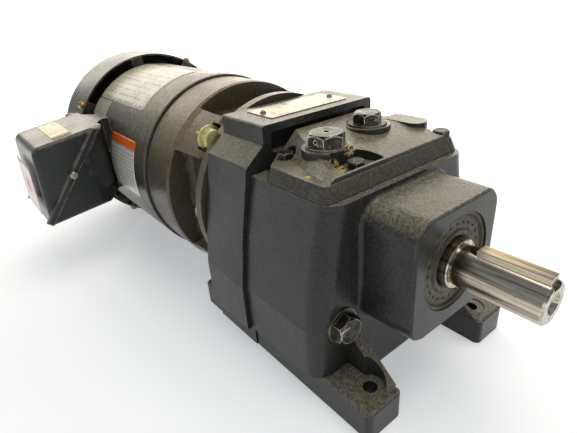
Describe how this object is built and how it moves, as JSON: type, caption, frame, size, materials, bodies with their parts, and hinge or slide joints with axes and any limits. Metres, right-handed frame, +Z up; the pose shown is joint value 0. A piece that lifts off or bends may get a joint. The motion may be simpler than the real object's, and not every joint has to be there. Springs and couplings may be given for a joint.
{
  "type": "inline helical gear reducer with motor",
  "caption": "Foot mounted inline helical gear reducer with a face mounted fan cooled motor; turns a keyed output shaft slowly from a fast motor shaft on the same line",
  "frame": {"origin": "centre of the four foot bolt holes, on the plane the feet stand on", "axes": "+X points out along the output shaft, +Z is up, -Y is the conduit box side"},
  "size_m": [0.519, 0.2535, 0.188],
  "materials": {
    "housing_paint": "satin",
    "adapter_paint": "satin",
    "motor_paint": "satin",
    "box_paint": "satin",
    "bright_steel": "satin",
    "gear_steel": "satin",
    "plug_steel": "satin",
    "yellow_zinc": "satin",
    "dark_screw": "matte",
    "cast_alloy": "matte",
    "plate_metal": "satin",
    "seal_rubber": "matte",
    "gasket_paper": "matte",
    "coupling_rubber": "matte",
    "lamination": "matte",
    "copper_winding": "satin",
    "fan_plastic": "matte"
  },
  "bodies": {
    "case": {"gear_housing": "housing_paint", "inspection_cover": "housing_paint", "cover_gasket": "gasket_paper", "cover_screws": "dark_screw", "breather_plug": "plug_steel", "fill_plug": "plug_steel", "drain_plug": "plug_steel", "level_plug": "plug_steel", "plug_washers": "plug_steel", "rear_housing": "housing_paint", "rear_gasket": "gasket_paper", "rear_housing_bolts": "dark_screw", "name_plate": "plate_metal", "name_plate_rivets": "plug_steel", "output_seal": "seal_rubber", "output_front_bearing_outer": "bright_steel", "output_rear_bearing_outer": "bright_steel", "intermediate_bearing_outers": "bright_steel", "input_bearing_outers": "bright_steel", "input_seal": "seal_rubber", "adapter_flange": "adapter_paint", "adapter_ribs": "adapter_paint", "adapter_rim": "adapter_paint", "adapter_bolts": "yellow_zinc", "motor_flange_bolts": "yellow_zinc", "motor_frame": "motor_paint", "front_end_bell": "cast_alloy", "rear_end_bell": "cast_alloy", "through_bolts": "dark_screw", "stator_core": "lamination", "stator_windings": "copper_winding", "motor_bearing_outers": "bright_steel", "fan_cover": "motor_paint", "fan_cover_screws": "yellow_zinc", "conduit_box_base": "box_paint", "conduit_box_cover": "box_paint", "conduit_box_screws": "plug_steel", "conduit_base_screws": "plug_steel"},
    "output_line": {"output_shaft": "bright_steel", "output_key": "bright_steel", "output_spacer": "gear_steel", "output_gear": "gear_steel", "output_gear_key": "bright_steel", "output_front_bearing_inner": "bright_steel", "output_rear_bearing_inner": "bright_steel"},
    "intermediate_line": {"intermediate_shaft": "gear_steel", "intermediate_gear": "gear_steel", "intermediate_gear_key": "bright_steel", "intermediate_bearing_inners": "bright_steel"},
    "input_line": {"input_shaft": "gear_steel", "input_bearing_inners": "bright_steel", "input_coupling_key": "bright_steel", "coupling_hub_input": "gear_steel", "coupling_spider": "coupling_rubber", "coupling_hub_motor": "gear_steel", "rotor_core": "cast_alloy", "motor_shaft": "bright_steel", "motor_shaft_key": "bright_steel", "motor_bearing_inners": "bright_steel", "cooling_fan": "fan_plastic"}
  },
  "joints": [
    {"name": "input_spin", "type": "hinge", "parent": "case", "child": "input_line", "pos_m": [0, 0, 0.09], "axis": [1, 0, 0], "continuous": true},
    {"name": "intermediate_spin", "type": "hinge", "parent": "case", "child": "intermediate_line", "pos_m": [0, 0, 0.0465], "axis": [1, 0, 0], "continuous": true},
    {"name": "output_spin", "type": "hinge", "parent": "case", "child": "output_line", "pos_m": [0, 0, 0.09], "axis": [1, 0, 0], "continuous": true}
  ],
  "couplings": [
    {"joint": "intermediate_spin", "follows": "input_spin", "ratio": -0.26087},
    {"joint": "output_spin", "follows": "input_spin", "ratio": 0.075362}
  ]
}
